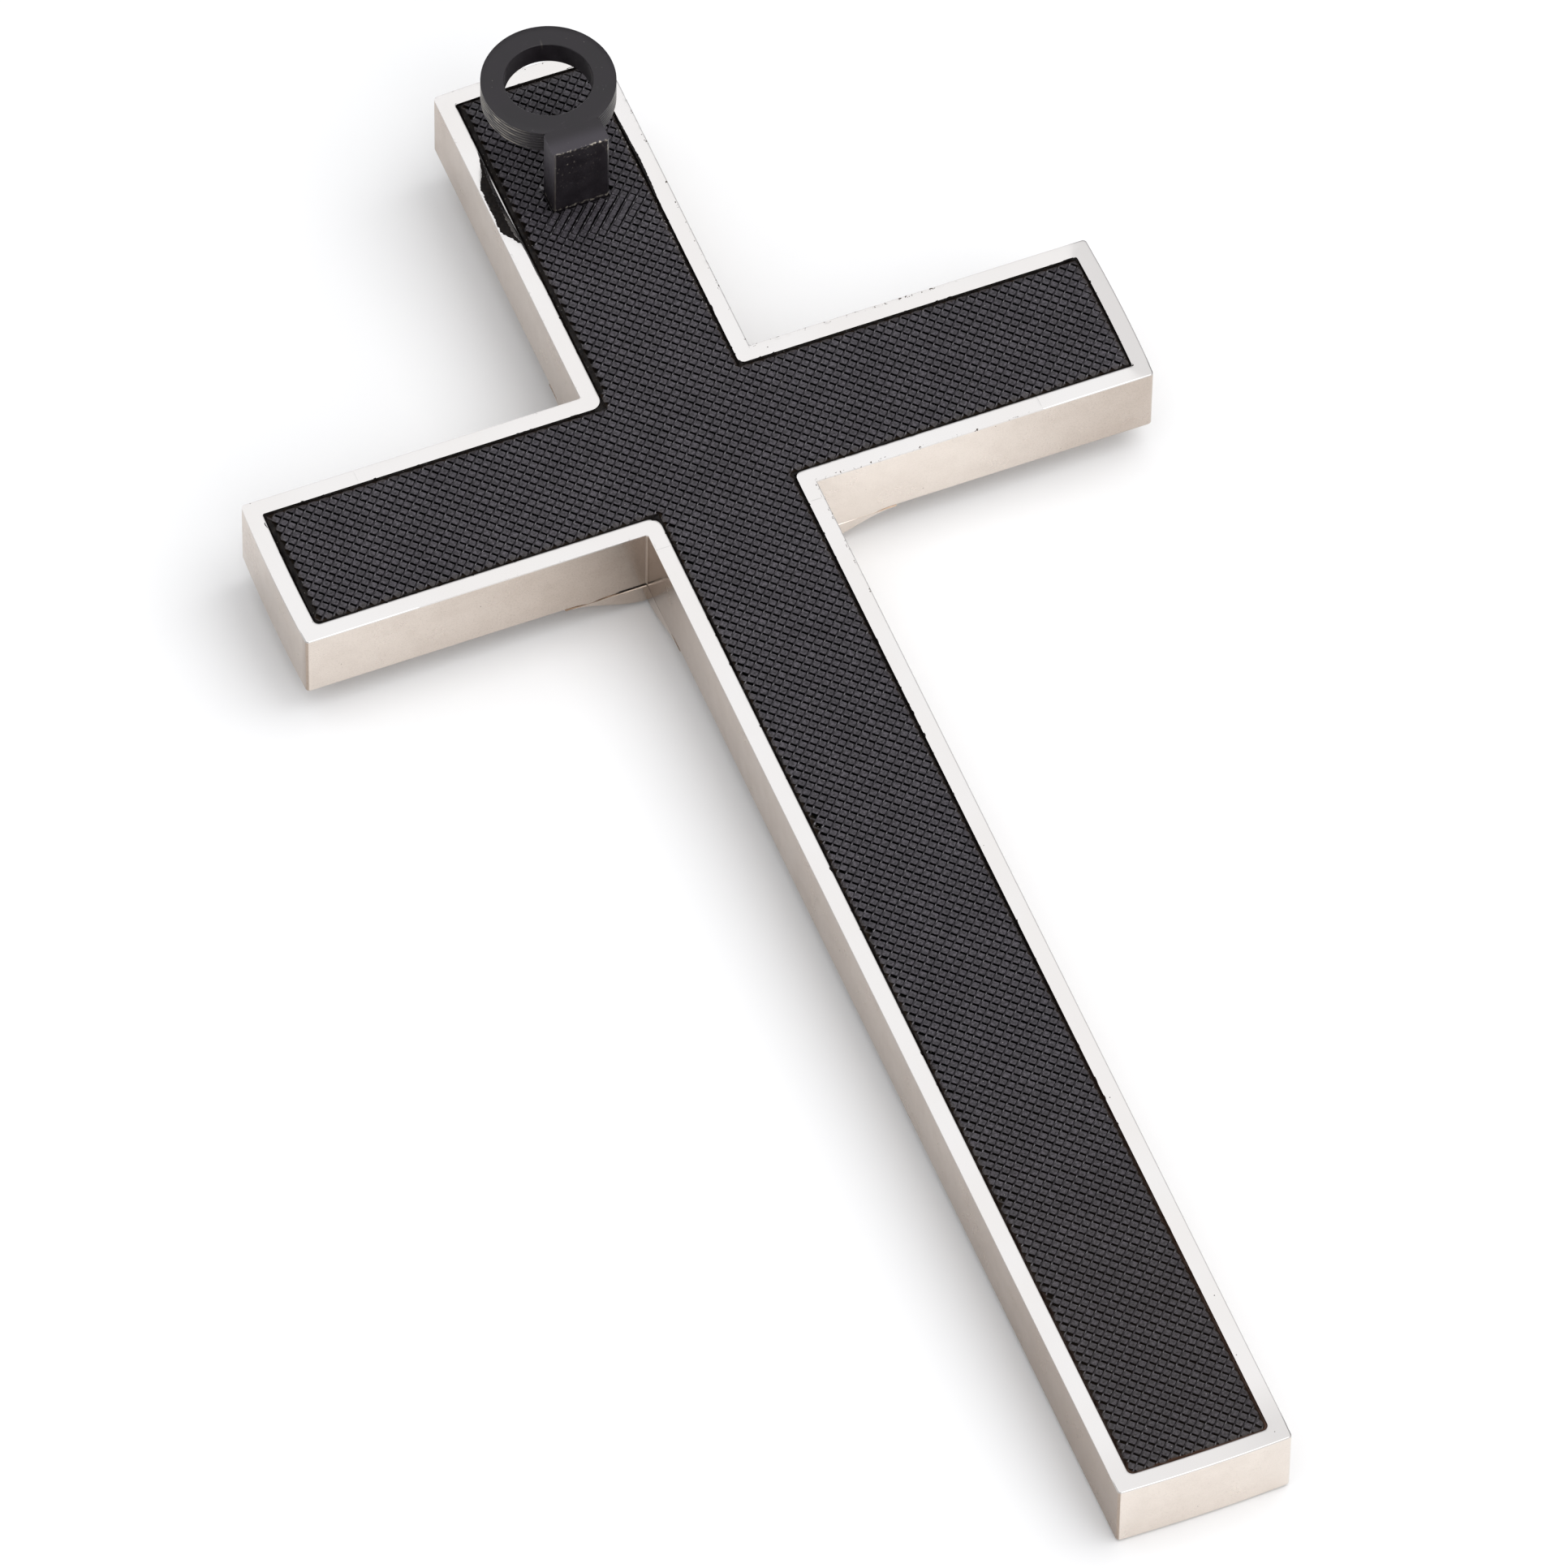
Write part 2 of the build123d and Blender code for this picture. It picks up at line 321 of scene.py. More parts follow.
class Nodes:
    """A node tree under construction. Sizes are in mm."""

    def __init__(self, tree, place):
        self.tree = tree
        self.place = self.node("ShaderNodeTexCoord", {}, place)

    def node(self, kind, inputs, output, **settings):
        """Adds a node and returns one of its outputs."""
        made = self.tree.nodes.new(kind)
        for key, value in settings.items():
            setattr(made, key, value)
        for key, value in inputs.items():
            self.feed(made.inputs[key], value)
        return made.outputs[output]

    def feed(self, socket, value):
        """Links a socket to an input, or sets it to a number, a vector or a colour."""
        if isinstance(value, bpy.types.NodeSocket):
            self.tree.links.new(value, socket)
        elif socket.type == "RGBA":
            socket.default_value = (*value, 1.0)
        else:
            socket.default_value = value

    def scaled(self, scale, turn=0.0, shift=(0.0, 0.0, 0.0)):
        """Coordinates stretched along each axis, turned about Z and shifted."""
        inputs = {"Vector": self.place, "Scale": scale, "Rotation": (0.0, 0.0, turn), "Location": shift}
        return self.node("ShaderNodeMapping", inputs, "Vector")

    def texture(self, kind, output, size, vector, **inputs):
        """A texture with features of about the given size."""
        inputs.update({"Vector": vector or self.place, "Scale": 1 / (size * MM)})
        return self.node(kind, inputs, output)

    def noise(self, size, detail=3.0, rough=0.55, vector=None):
        return self.texture("ShaderNodeTexNoise", "Fac", size, vector, Detail=detail, Roughness=rough)

    def specks(self, size, low, high, strength=1.0, vector=None):
        distance = self.texture("ShaderNodeTexVoronoi", "Distance", size, vector)
        return self.ramp(distance, low, high, strength, 0.0)

    def ramp(self, value, low, high, start=0.0, end=1.0):
        """Maps low..high to start..end, smoothly and held at both ends."""
        inputs = {"Value": value, "From Min": low, "From Max": high, "To Min": start, "To Max": end}
        return self.node("ShaderNodeMapRange", inputs, "Result", interpolation_type="SMOOTHSTEP")

    def math(self, operation, first, second):
        return self.node("ShaderNodeMath", {0: first, 1: second}, "Value", operation=operation)

    def times(self, first, second):
        return self.math("MULTIPLY", first, second)

    def inverse(self, value):
        return self.math("SUBTRACT", 1.0, value)

    def vector(self, operation, first, second=(0.0, 0.0, 0.0), output="Value"):
        return self.node("ShaderNodeVectorMath", {0: first, 1: second}, output, operation=operation)

    def mix(self, share, first, second):
        return self.node("ShaderNodeMix", {0: share, 6: first, 7: second}, 2, data_type="RGBA")

    def layers(self, base, *layers):
        """Covers a colour with others, each after its share."""
        for share, colour in layers:
            base = self.mix(share, base, colour)
        return base

    def mark(self, name):
        return self.node("ShaderNodeAttribute", {}, "Fac", attribute_name=name)

    def bump(self, height, depth, normal=None):
        inputs = {"Strength": 1.0, "Distance": depth * MM, "Height": height}
        if normal is not None:
            inputs["Normal"] = normal
        return self.node("ShaderNodeBump", inputs, "Normal")


class Finish(Nodes):
    """A material whose textures are read in the part's own frame."""

    def __init__(self, name):
        self.material = bpy.data.materials.new(name)
        self.material.use_nodes = True
        super().__init__(self.material.node_tree, "Object")

    def set(self, **values):
        """Sets inputs of the main shader; an underscore stands for a space."""
        for key, value in values.items():
            self.feed(self.tree.nodes["Principled BSDF"].inputs[key.replace("_", " ")], value)
        return self.material


# ---- materials

def silver_finish():
    """Silver plating: bright on the ground rim, warmer and faintly sandy elsewhere, with tarnish and painted
    shade on the walls and painted shadow along the band's edges.
    """
    f = Finish("silver_plate")
    rim, tarnish = f.mark("rim"), f.mark("tarnish")
    cloud = f.noise(22, 2)
    blotch = f.noise(3.2, 4, 0.6)
    sand = f.noise(0.3, rough=0.6)
    pit = f.specks(3.9, 0.018, 0.032)
    uneven = f.math("ADD", f.ramp(blotch, 0.3, 0.75, 0.26, 0.33), f.ramp(cloud, 0.35, 0.65, 0.0, 0.06))
    sanded = f.times(f.ramp(sand, 0.5, 0.7, 0.0, 0.42), f.math("ADD", tarnish, 0.38))
    # Walls go from cream to brown where they carry tarnish and painted shade.
    wall = f.mix(f.math("ADD", tarnish, uneven), (0.97, 0.9, 0.83), (0.42, 0.34, 0.28))
    wall = f.mix(sanded, wall, (0.3, 0.24, 0.2))
    ground = f.mix(f.ramp(cloud, 0.35, 0.65), (0.725, 0.708, 0.695), (0.715, 0.692, 0.673))
    # The rim goes darker where its mark says: at the right arm's end and at the foot.
    ground = f.mix(tarnish, ground, (0.6, 0.58, 0.566))
    dashes = f.ramp(f.noise(0.6, 2), 0.6, 0.66)
    knocks = f.times(dashes, f.ramp(f.noise(5, 1), 0.42, 0.52))
    tint = f.layers(
        f.mix(rim, wall, ground),
        (f.times(pit, 0.85), (0.1, 0.085, 0.07)),
        (f.times(knocks, f.ramp(f.mark("nicked"), 0.15, 0.6)), (0.1, 0.08, 0.07)),
        # Painted shadow in the joint with the boss, and a painted dark reflection along the top edge of
        # left-facing walls.
        (f.ramp(f.mark("dirty"), 0.2, 0.8), (0.02, 0.012, 0.008)),
    )
    satin = f.ramp(f.noise(6, 4), 0.3, 0.7, 0.2, 0.28)
    rough = f.math("SUBTRACT", satin, f.times(rim, 0.14))
    grit = f.times(sand, f.inverse(f.times(rim, 0.85)))
    relief = f.bump(f.inverse(pit), 0.02, f.bump(grit, 0.0065))
    return f.set(Base_Color=tint, Roughness=rough, Metallic=1.0, Normal=relief)


def rubber_finish():
    """Black rubber: dull charcoal, dimpled tiles, specks of dust and a browner border, with painted shade on
    the tiles' feet, in the grooves and in the dimples, and painted highlights where grooves cross and at the
    tiles' front corners.
    """
    f = Finish("embossed_rubber")
    cloud = f.noise(9)
    grain = f.noise(0.4, rough=0.65)
    blotch = f.noise(0.9, 2)
    shift = 0.5 - CROSS_Y / PITCH / math.sqrt(2)
    lattice = f.scaled((1 / PITCH, 1 / PITCH, 0.0), math.radians(-45), (shift, shift, 0.0))
    within = f.vector("FRACTION", lattice, output="Vector")
    from_middle = f.vector("DISTANCE", within, (0.5, 0.5, 0.0))
    dimple = f.times(f.ramp(from_middle, 0.07, 0.17, 1.0, 0.0), f.ramp(blotch, 0.45, 0.6))
    dust = f.specks(1.9, 0.03, 0.048, vector=f.scaled((1.0, 1.35, 1.0), 0.6))
    grime = f.mark("grime")
    flecks = f.ramp(f.noise(0.5, rough=0.7), 0.56, 0.64)
    base = f.layers(
        f.mix(f.ramp(cloud, 0.3, 0.7), (0.06, 0.053, 0.063), (0.074, 0.066, 0.077)),
        (f.ramp(grain, 0.38, 0.6, 0.0, 0.75), (0.014, 0.012, 0.015)),
        (f.ramp(blotch, 0.4, 0.6, 0.0, 0.4), (0.014, 0.012, 0.014)),
        # Painted highlights where grooves cross and at the tiles' front corners.
        (f.ramp(f.mark("scuffed"), 0.4, 0.9), (0.21, 0.2, 0.21)),
        # Painted shade: near black at the tiles' feet and in the grooves.
        (f.ramp(grime, 0.02, 0.45), (0.001, 0.001, 0.001)),
        # Painted shade in the dimples.
        (f.times(dimple, 0.6), (0.006, 0.005, 0.006)),
        (f.times(f.mark("border"), 0.85), (0.02, 0.014, 0.01)),
        (f.times(flecks, f.mark("flecked")), (0.3, 0.28, 0.27)),
        (f.times(dust, 0.6), (0.42, 0.4, 0.37)),
    )
    # The painted shade also makes those places rougher and less shiny.
    rough = f.math("ADD", f.ramp(grain, 0.25, 0.75, 0.38, 0.54), f.ramp(grime, 0.1, 0.8, 0.0, 0.45))
    shine = f.ramp(grime, 0.02, 0.45, 0.42, 0.02)
    relief = f.bump(f.inverse(dimple), 0.04, f.bump(grain, 0.04))
    return f.set(Base_Color=base, Roughness=rough, Specular_IOR_Level=shine, Normal=relief)


def blackened_finish():
    """Blackened metal, with pale metal where the black has come off, painted sheen and painted light where
    the piece says so.
    """
    f = Finish("blackened_metal")
    wisps = f.ramp(f.noise(1.8, 6, 0.7), 0.62, 0.72, 0.0, 0.35)
    cloud = f.noise(4, 4)
    worn = f.mark("worn")
    base = f.layers(
        f.mix(f.ramp(cloud, 0.3, 0.7), (0.008, 0.006, 0.008), (0.014, 0.011, 0.014)),
        (f.specks(1.5, 0.03, 0.05, 0.5), (0.3, 0.28, 0.25)),
        (wisps, (0.06, 0.056, 0.062)),
        # Painted light on the post's top and left face.
        (f.mark("greyed"), (0.046, 0.04, 0.05)),
        # Pale metal where the black has come off, also used for a painted sheen on the ring's sides and a
        # painted highlight on the post's left bevel.
        (worn, (0.62, 0.56, 0.47)),
    )
    rough = f.ramp(cloud, 0.3, 0.7, 0.36, 0.5)
    f.set(Base_Color=base, Roughness=rough, Metallic=f.times(worn, 0.8))
    return f.set(Specular_IOR_Level=0.46, Normal=f.bump(f.noise(0.18, 2), 0.008))


def cement_finish():
    """Contact cement: glossy, lumpy and nearly black."""
    f = Finish("black_cement")
    lumps = f.noise(0.7, 4, 0.6)
    base = f.layers(
        f.mix(f.ramp(lumps, 0.35, 0.75), (0.004, 0.003, 0.003), (0.012, 0.009, 0.007)),
        (f.times(f.mark("browned"), 0.8), (0.09, 0.045, 0.028)),
        (f.specks(0.9, 0.05, 0.09, 0.5), (0.3, 0.28, 0.25)),
    )
    rough = f.ramp(f.noise(0.15, 2), 0.3, 0.7, 0.3, 0.5)
    return f.set(Base_Color=base, Roughness=rough, Specular_IOR_Level=0.14, Normal=f.bump(lumps, 0.05))


def wood_finish():
    f = Finish("filler_wood")
    along = f.scaled((1.0, 0.06, 1.0))
    rings = f.noise(2.2, 4, vector=along)
    pores = f.noise(0.35, 2, vector=along)
    base = f.mix(f.ramp(rings, 0.35, 0.65), (0.56, 0.39, 0.22), (0.38, 0.23, 0.11))
    base = f.mix(f.ramp(pores, 0.6, 0.8, 0.0, 0.5), base, (0.22, 0.13, 0.06))
    rough = f.ramp(pores, 0.3, 0.7, 0.55, 0.75)
    return f.set(Base_Color=base, Roughness=rough, Normal=f.bump(rings, 0.08))


def steel_finish():
    f = Finish("steel")
    drawn = f.noise(0.5, vector=f.scaled((1.0, 0.08, 1.0)))
    cloud = f.noise(5)
    base = f.mix(f.ramp(cloud, 0.3, 0.7), (0.46, 0.46, 0.47), (0.56, 0.55, 0.54))
    rough = f.ramp(drawn, 0.3, 0.7, 0.25, 0.42)
    return f.set(Base_Color=base, Roughness=rough, Metallic=1.0, Normal=f.bump(drawn, 0.01))


def floor_finish():
    f = Finish("white_board")
    base = f.mix(f.noise(120, 2), (0.825,) * 3, (0.845,) * 3)
    return f.set(Base_Color=base, Roughness=0.9, Specular_IOR_Level=0.1)


SILVER = silver_finish()
RUBBER = rubber_finish()
BLACKENED = blackened_finish()
CEMENT = cement_finish()
WOOD = wood_finish()
STEEL = steel_finish()


# ---- edge bands

def band_section():
    """Section of the band as (distance from its inner wall, height, name of the stretch)."""
    points = []

    def arc(centre_w, centre_z, radius, start, end, steps, stretch):
        for step in range(steps + 1):
            angle = math.radians(start + (end - start) * step / steps)
            points.append((centre_w + radius * math.cos(angle), centre_z + radius * math.sin(angle), stretch))

    def line(start, end, steps, stretch):
        for step in range(1, steps):
            w, z = (a + (b - a) * (step / steps) for a, b in zip(start, end))
            points.append((w, z, stretch))

    edge = INNER_EDGE_R
    rim_w, rim_z = BAND_T - RIM_EDGE_R, RIM_Z - RIM_EDGE_R
    front_w, front_z = BAND_T - FRONT_EDGE_R, FRONT_Z + FRONT_EDGE_R
    below_edge = rim_z - 0.12 * MM
    arc(edge, RIM_Z - edge, edge, 180, 90, 2, "inner_edge")
    line((edge, RIM_Z), (rim_w, RIM_Z), 9, "rim")
    arc(rim_w, rim_z, RIM_EDGE_R, 90, 0, 6, "outer_edge")
    points.append((BAND_T, below_edge, "wall"))
    line((BAND_T, below_edge), (BAND_T, front_z), 7, "wall")
    points.append((BAND_T, front_z + 0.08 * MM, "wall"))
    arc(front_w, front_z, FRONT_EDGE_R, 0, -90, 7, "front_edge")
    line((front_w, FRONT_Z), (0, FRONT_Z), 2, "front")
    points.append((0.0, FRONT_Z, "inside"))
    line((0, FRONT_Z), (0, RIM_Z - edge), 3, "inside")
    return points


def bowed(x, y):
    """Draws the corners of the four ends in, so that the ends bulge a little."""
    from_crossing = y - CROSS_Y
    if abs(x) > HALF_BAR + MM:
        pull = END_BOW * ease(0.85, 1.0, abs(x) / ARM_X) * (from_crossing / HALF_BAR) ** 2
        return x - math.copysign(pull, x), y
    reach = TOP_Y - CROSS_Y if from_crossing > 0 else CROSS_Y - FOOT_Y
    pull = END_BOW * ease(1 - 0.15 * ARM_X / reach, 1.0, abs(from_crossing) / reach) * (x / HALF_BAR) ** 2
    return x, y - math.copysign(pull, from_crossing)


def rough_handling(place):
    """How knocked the rim is: most near the hanger and the crossing."""
    from_crossing = place.y - CROSS_Y
    handled = climb(-60, -12, from_crossing) * climb(60, 35, abs(place.x))
    return 0.08 + 0.92 * handled * (1 - 0.8 * climb(-5, -12, place.x))


def edge_nicks(place, along, z):
    """Depth of the knocks in the rim's outer edge, up to 0.5 or so."""
    spot = (place.x, place.y, along)
    knocks = max(0.0, ripple(spot, 1.1 * MM, 7.7) - 0.36) + max(0.0, ripple(spot, 0.6 * MM, 8.3) - 0.48)
    return knocks * rough_handling(place) * ease(RIM_Z - RIM_EDGE_R, RIM_Z - 0.6 * RIM_EDGE_R, z)


def edge_sharpness(outer, across):
    """How crisp the rim's outer edge is: softest below the arm ends and on the foot."""
    away = climb(15, 30, ARM_X - abs(outer.x)) * climb(10, 25, outer.y - FOOT_Y)
    right = 0.3 * ease(0.2, 0.8, across.x)
    return (0.85 - right) * (1 - (1 - away) * ease(0.2, 0.8, -across.y))


def sharpened(w, z, radius, flat_z, share):
    """Moves a point of the round edge at flat_z towards a square edge."""
    past = 2 - 4 / math.pi * math.acos(min(1.0, max(0.0, (w - BAND_T + radius) / radius)))
    square_w = BAND_T - radius + radius * min(1.0, past)
    square_z = flat_z + math.copysign(radius * max(0.0, past - 1.0), z - flat_z)
    return w + (square_w - w) * share, z + (square_z - z) * share


def flush_share(outer):
    """How square the band's front edge is, where it runs flush into the boss."""
    flush = climb(1, 4, BOSS_FOOT_R - Vector((outer.x, outer.y - CROSS_Y)).length)
    if abs(outer.x) > HALF_BAR + 0.01 * MM and outer.y < CROSS_Y:
        shown = 7.0 if outer.x < 0 else 2.0
        flush *= climb(shown, 1.5 * shown, abs(outer.x) - HALF_BAR)
    return flush


def roll_off(outer, across):
    """How far the rim's inner edge is rolled down: most on the right."""
    at_end = max(climb(20, 5, ARM_X - outer.x), 0.6 * climb(-20, -110, outer.y))
    return ROLL_OFF * (1 + 1.5 * at_end * ease(0.3, 0.9, across.x))


def band_point(outer, inner, along, w, z, stretch, eased):
    """Place of a section point at a station, with its wear and waviness."""
    spot = (outer.x, outer.y, along)
    across = (outer - inner).normalized()
    if stretch == "outer_edge":
        w, z = sharpened(w, z, RIM_EDGE_R, RIM_Z, edge_sharpness(outer, across))
        wear = 0.01 + 0.02 * max(0.0, ripple(spot, 4 * MM, 3.1)) + 0.3 * edge_nicks(outer, along, z)
        w -= wear * 0.6 * MM
        z -= wear * 0.6 * MM
    elif stretch == "inner_edge":
        wear = 0.05 * ripple(spot, 0.9 * MM, 5.3) + 0.01
        w += max(0.0, wear) * rough_handling(outer) * MM
        z -= max(0.0, wear) * 0.7 * rough_handling(outer) * MM + roll_off(outer, across)
    elif stretch == "rim":
        z -= (0.003 + 0.003 * ripple((outer.x + w, outer.y, w), 9 * MM, 1.9)) * MM
        z -= roll_off(outer, across) * max(0.0, 1 - w / ROLL_WIDTH) ** 2
    elif stretch == "wall":
        w -= (0.012 + 0.012 * ripple((outer.x, outer.y, z), 11 * MM, 2.7)) * MM
    elif stretch == "front_edge":
        w, z = sharpened(w, z, FRONT_EDGE_R, FRONT_Z, flush_share(outer))
        w = min(w, BAND_T - 0.012 * MM)
    if eased:
        w = min(max(w, SEAM_DIP), BAND_T - SEAM_DIP)
        z = min(max(z, FRONT_Z + SEAM_DIP), RIM_Z - SEAM_DIP)
    place = inner + (outer - inner) * (w / BAND_T)
    return (*bowed(place.x, place.y), z)


def joint_dirt(outer, inner):
    """Painted shadow in the joint between the band and the boss, below the arms."""
    front = ease(0.6, 0.9, (inner - outer).normalized().y)
    reach = 6.5 if outer.x < 0 else 2.2
    return front * climb(reach, reach - 2.5, abs(outer.x) - HALF_BAR) if outer.y > SEAM_Y else 0.0


def wall_tarnish(outer, facing):
    """How dark and brown a wall is made, partly as tarnish and partly as painted shade: lightest on the
    foot's end, darker on left-facing walls, darkest where two walls meet.
    """
    if outer.x < 0:
        lower = 0.1 + 0.36 * climb(60, -5, abs(outer.x + HALF_BAR))
    else:
        lower = 0.4 * climb(40, 72, outer.x) - 0.1 * climb(40, 20, outer.x)
    if outer.y < FOOT_Y + MM:
        lower = -0.06
    below = CROSS_Y - HALF_BAR - outer.y
    left = 0.33 + 0.25 * climb(25, 0, TOP_Y - outer.y)
    if below > -MM:
        left = 0.47 + 0.13 * climb(25, 3, below) + 0.32 * climb(120, 195, below)
    corner = ease(0.25, 0.6, -facing.y) * ease(0.25, 0.6, -facing.x)
    return lower * ease(0.3, 0.7, -facing.y) + left * ease(0.3, 0.7, -facing.x) + 0.7 * corner


def rim_dulling(outer):
    """How much darker the rim is made at the right arm's end and at the foot: most on the right."""
    end = climb(4, 1, ARM_X - outer.x)
    foot = climb(14, 2, outer.y - FOOT_Y)
    return end + foot * (0.35 + 0.5 * ease(0, HALF_BAR, outer.x))


def band_lengths():
    """Stations of the four lengths of band, anticlockwise from the seam on the left arm."""
    upper, lower = CROSS_Y + HALF_BAR, CROSS_Y - HALF_BAR
    seams = [(-HALF_BAR, SEAM_Y), (HALF_BAR, SEAM_Y), (-SEAM_X, upper), (SEAM_X, lower)]
    radii = (BAND_OUTER_RADII, BAND_INNER_RADII)
    loop = outline_pairs((0.0, BAND_T), radii, [Vector(seam) for seam in seams])
    first = loop.index(None)
    lengths = [[]]
    for pair in loop[first + 1:] + loop[:first]:
        if pair is None:
            lengths.append([])
        else:
            lengths[-1].append(pair)
    return lengths


def make_bands():
    section = band_section()
    count = len(section)
    names = ("band_left", "band_foot", "band_right", "band_upper")
    for name, pairs in zip(names, band_lengths()):
        last = len(pairs) - 1
        points, rim, nicked, tarnish, dirty, along = [], [], [], [], [], 0.0
        for index, (outer, inner) in enumerate(pairs):
            if index:
                along += (outer - pairs[index - 1][0]).length
            run = pairs[min(index + 1, last)][0] - pairs[max(index - 1, 0)][0]
            facing = Vector((run.y, -run.x)).normalized()
            # Tarnish and painted shade on the walls, painted shadow in the joint with the boss.
            brown, dirt = wall_tarnish(outer, facing), joint_dirt(outer, inner)
            # Painted dark reflection along the top edge of left-facing walls, strongest on the left arm's
            # end.
            edge_dirt = (0.75 if outer.x < MM - ARM_X else 0.45) * ease(0.5, 0.9, -facing.x)
            for w, z, stretch in section:
                points.append(band_point(outer, inner, along, w, z, stretch, index in (0, last)))
                at_edge = stretch == "outer_edge"
                on_rim = stretch in ("rim", "inner_edge") or at_edge and w < BAND_T
                rim.append(float(on_rim))
                tarnish.append(rim_dulling(outer) if on_rim else brown)
                edge_line = edge_dirt if at_edge and not on_rim else 0.0
                dirty.append(dirt if stretch == "front_edge" else edge_line)
                nicked.append(rough_handling(outer) if at_edge and on_rim else 0.0)
        faces = grid_faces(len(pairs), count, close_columns=True)
        faces.append(tuple(range(count)))
        faces.append(tuple(range(len(points) - 1, len(points) - count - 1, -1)))
        marks = {"rim": rim, "nicked": nicked, "tarnish": tarnish, "dirty": dirty}
        mesh = marked_mesh(name + "_strip", points, faces, **marks)
        keep_flat(new_piece(mesh, SILVER, (name,)))


# ---- embossed panel

def lattice_xy(u, v):
    """Point of the embossing lattice, whose axes run at 45 degrees to the arms."""
    return (u - v) / math.sqrt(2), CROSS_Y + (u + v) / math.sqrt(2)


def panel_depth(x, y):
    """Distance inside the panel's outline and outside the hole for the post."""
    beyond = np.maximum(np.abs(x) - POST_HIGH.x, np.abs(y - POST_Y) - (POST_HIGH.y - POST_Y))
    return np.minimum(inside_depth(x, y, PANEL_INSET), beyond - HOLE_GAP)


def panel_cells():
    """Lattice places and depths of the cells that touch the panel."""
    reach = math.ceil((TOP_Y - FOOT_Y) / PITCH)
    i, j = np.meshgrid(np.arange(-reach, reach + 1), np.arange(-reach, reach + 1), indexing="ij")
    x, y = lattice_xy(i * PITCH, j * PITCH)
    depth = panel_depth(x, y)
    kept = depth > -CELL_REACH
    return list(zip(i[kept].tolist(), j[kept].tolist(), depth[kept].tolist()))


def near_post(x, y):
    """How strongly the sheet is dragged out of shape below the post."""
    across = (x - 1.0 * MM) / (8.5 * MM)
    down = (y - (POST_LOW.y - 2.8 * MM)) / (4.2 * MM)
    return math.exp(-across * across - down * down)


def soft_left(x, y):
    """Depth from the sheet's left side, where a wider strip is plain or low."""
    if y < CROSS_Y - HALF_BAR:
        return 0.36 * (x + HALF_BAR - PANEL_INSET) - 0.05 * MM
    left = ARM_X if y < CROSS_Y + HALF_BAR else HALF_BAR
    return x + left - PANEL_INSET - LEFT_MARGIN


def octagon(a, b, cut, front_cut):
    """Rectangle of half sides a and b with cut corners, anticlockwise from below."""
    return [
        (-a + front_cut, -b), (a - cut, -b), (a, -b + cut), (a, b - cut),
        (a - cut, b), (-a + cut, b), (-a, b - cut), (-a, -b + front_cut),
    ]


def tile_points(u, v, height, drag):
    """Foot and top of a raised tile. Drag stretches it up to the right."""
    spot = (u, v, 0.0)
    half = TILE / 2 * (1 + 0.05 * ripple(spot, 0.9 * PITCH, 2.2))
    half_u = 0.95 * half + (PITCH / 2 - 0.02 * MM - 0.95 * half) * ease(0.25, 0.6, drag)
    half_v = half * (1 - 0.3 * drag)
    u += 0.035 * MM * ripple(spot, 0.8 * PITCH, 4.4)
    v += 0.035 * MM * ripple(spot, 0.8 * PITCH, 6.6)
    tilt_u, tilt_v = 0.035 * ripple(spot, 0.7 * PITCH, 8.8), 0.035 * ripple(spot, 0.7 * PITCH, 9.9)
    turn = 0.05 * ripple(spot, 0.9 * PITCH, 12.1)
    points = []
    foot = (0.05 * MM, 0.0, 0.04 * MM, 0.02 * MM)
    top = (0.0, height, 0.08 * MM, 0.19 * MM)
    for grow, rise, cut, front_cut in (foot, top):
        for a, b in octagon(half_u + grow, half_v + grow, cut, front_cut):
            a, b = a - b * turn, b + a * turn
            x, y = lattice_xy(u + a, v + b)
            lift = rise + (tilt_u * a + tilt_v * b if rise else 0.0)
            points.append((x, y, min(GROOVE_Z + lift, PANEL_HIGH.z)))
    return points


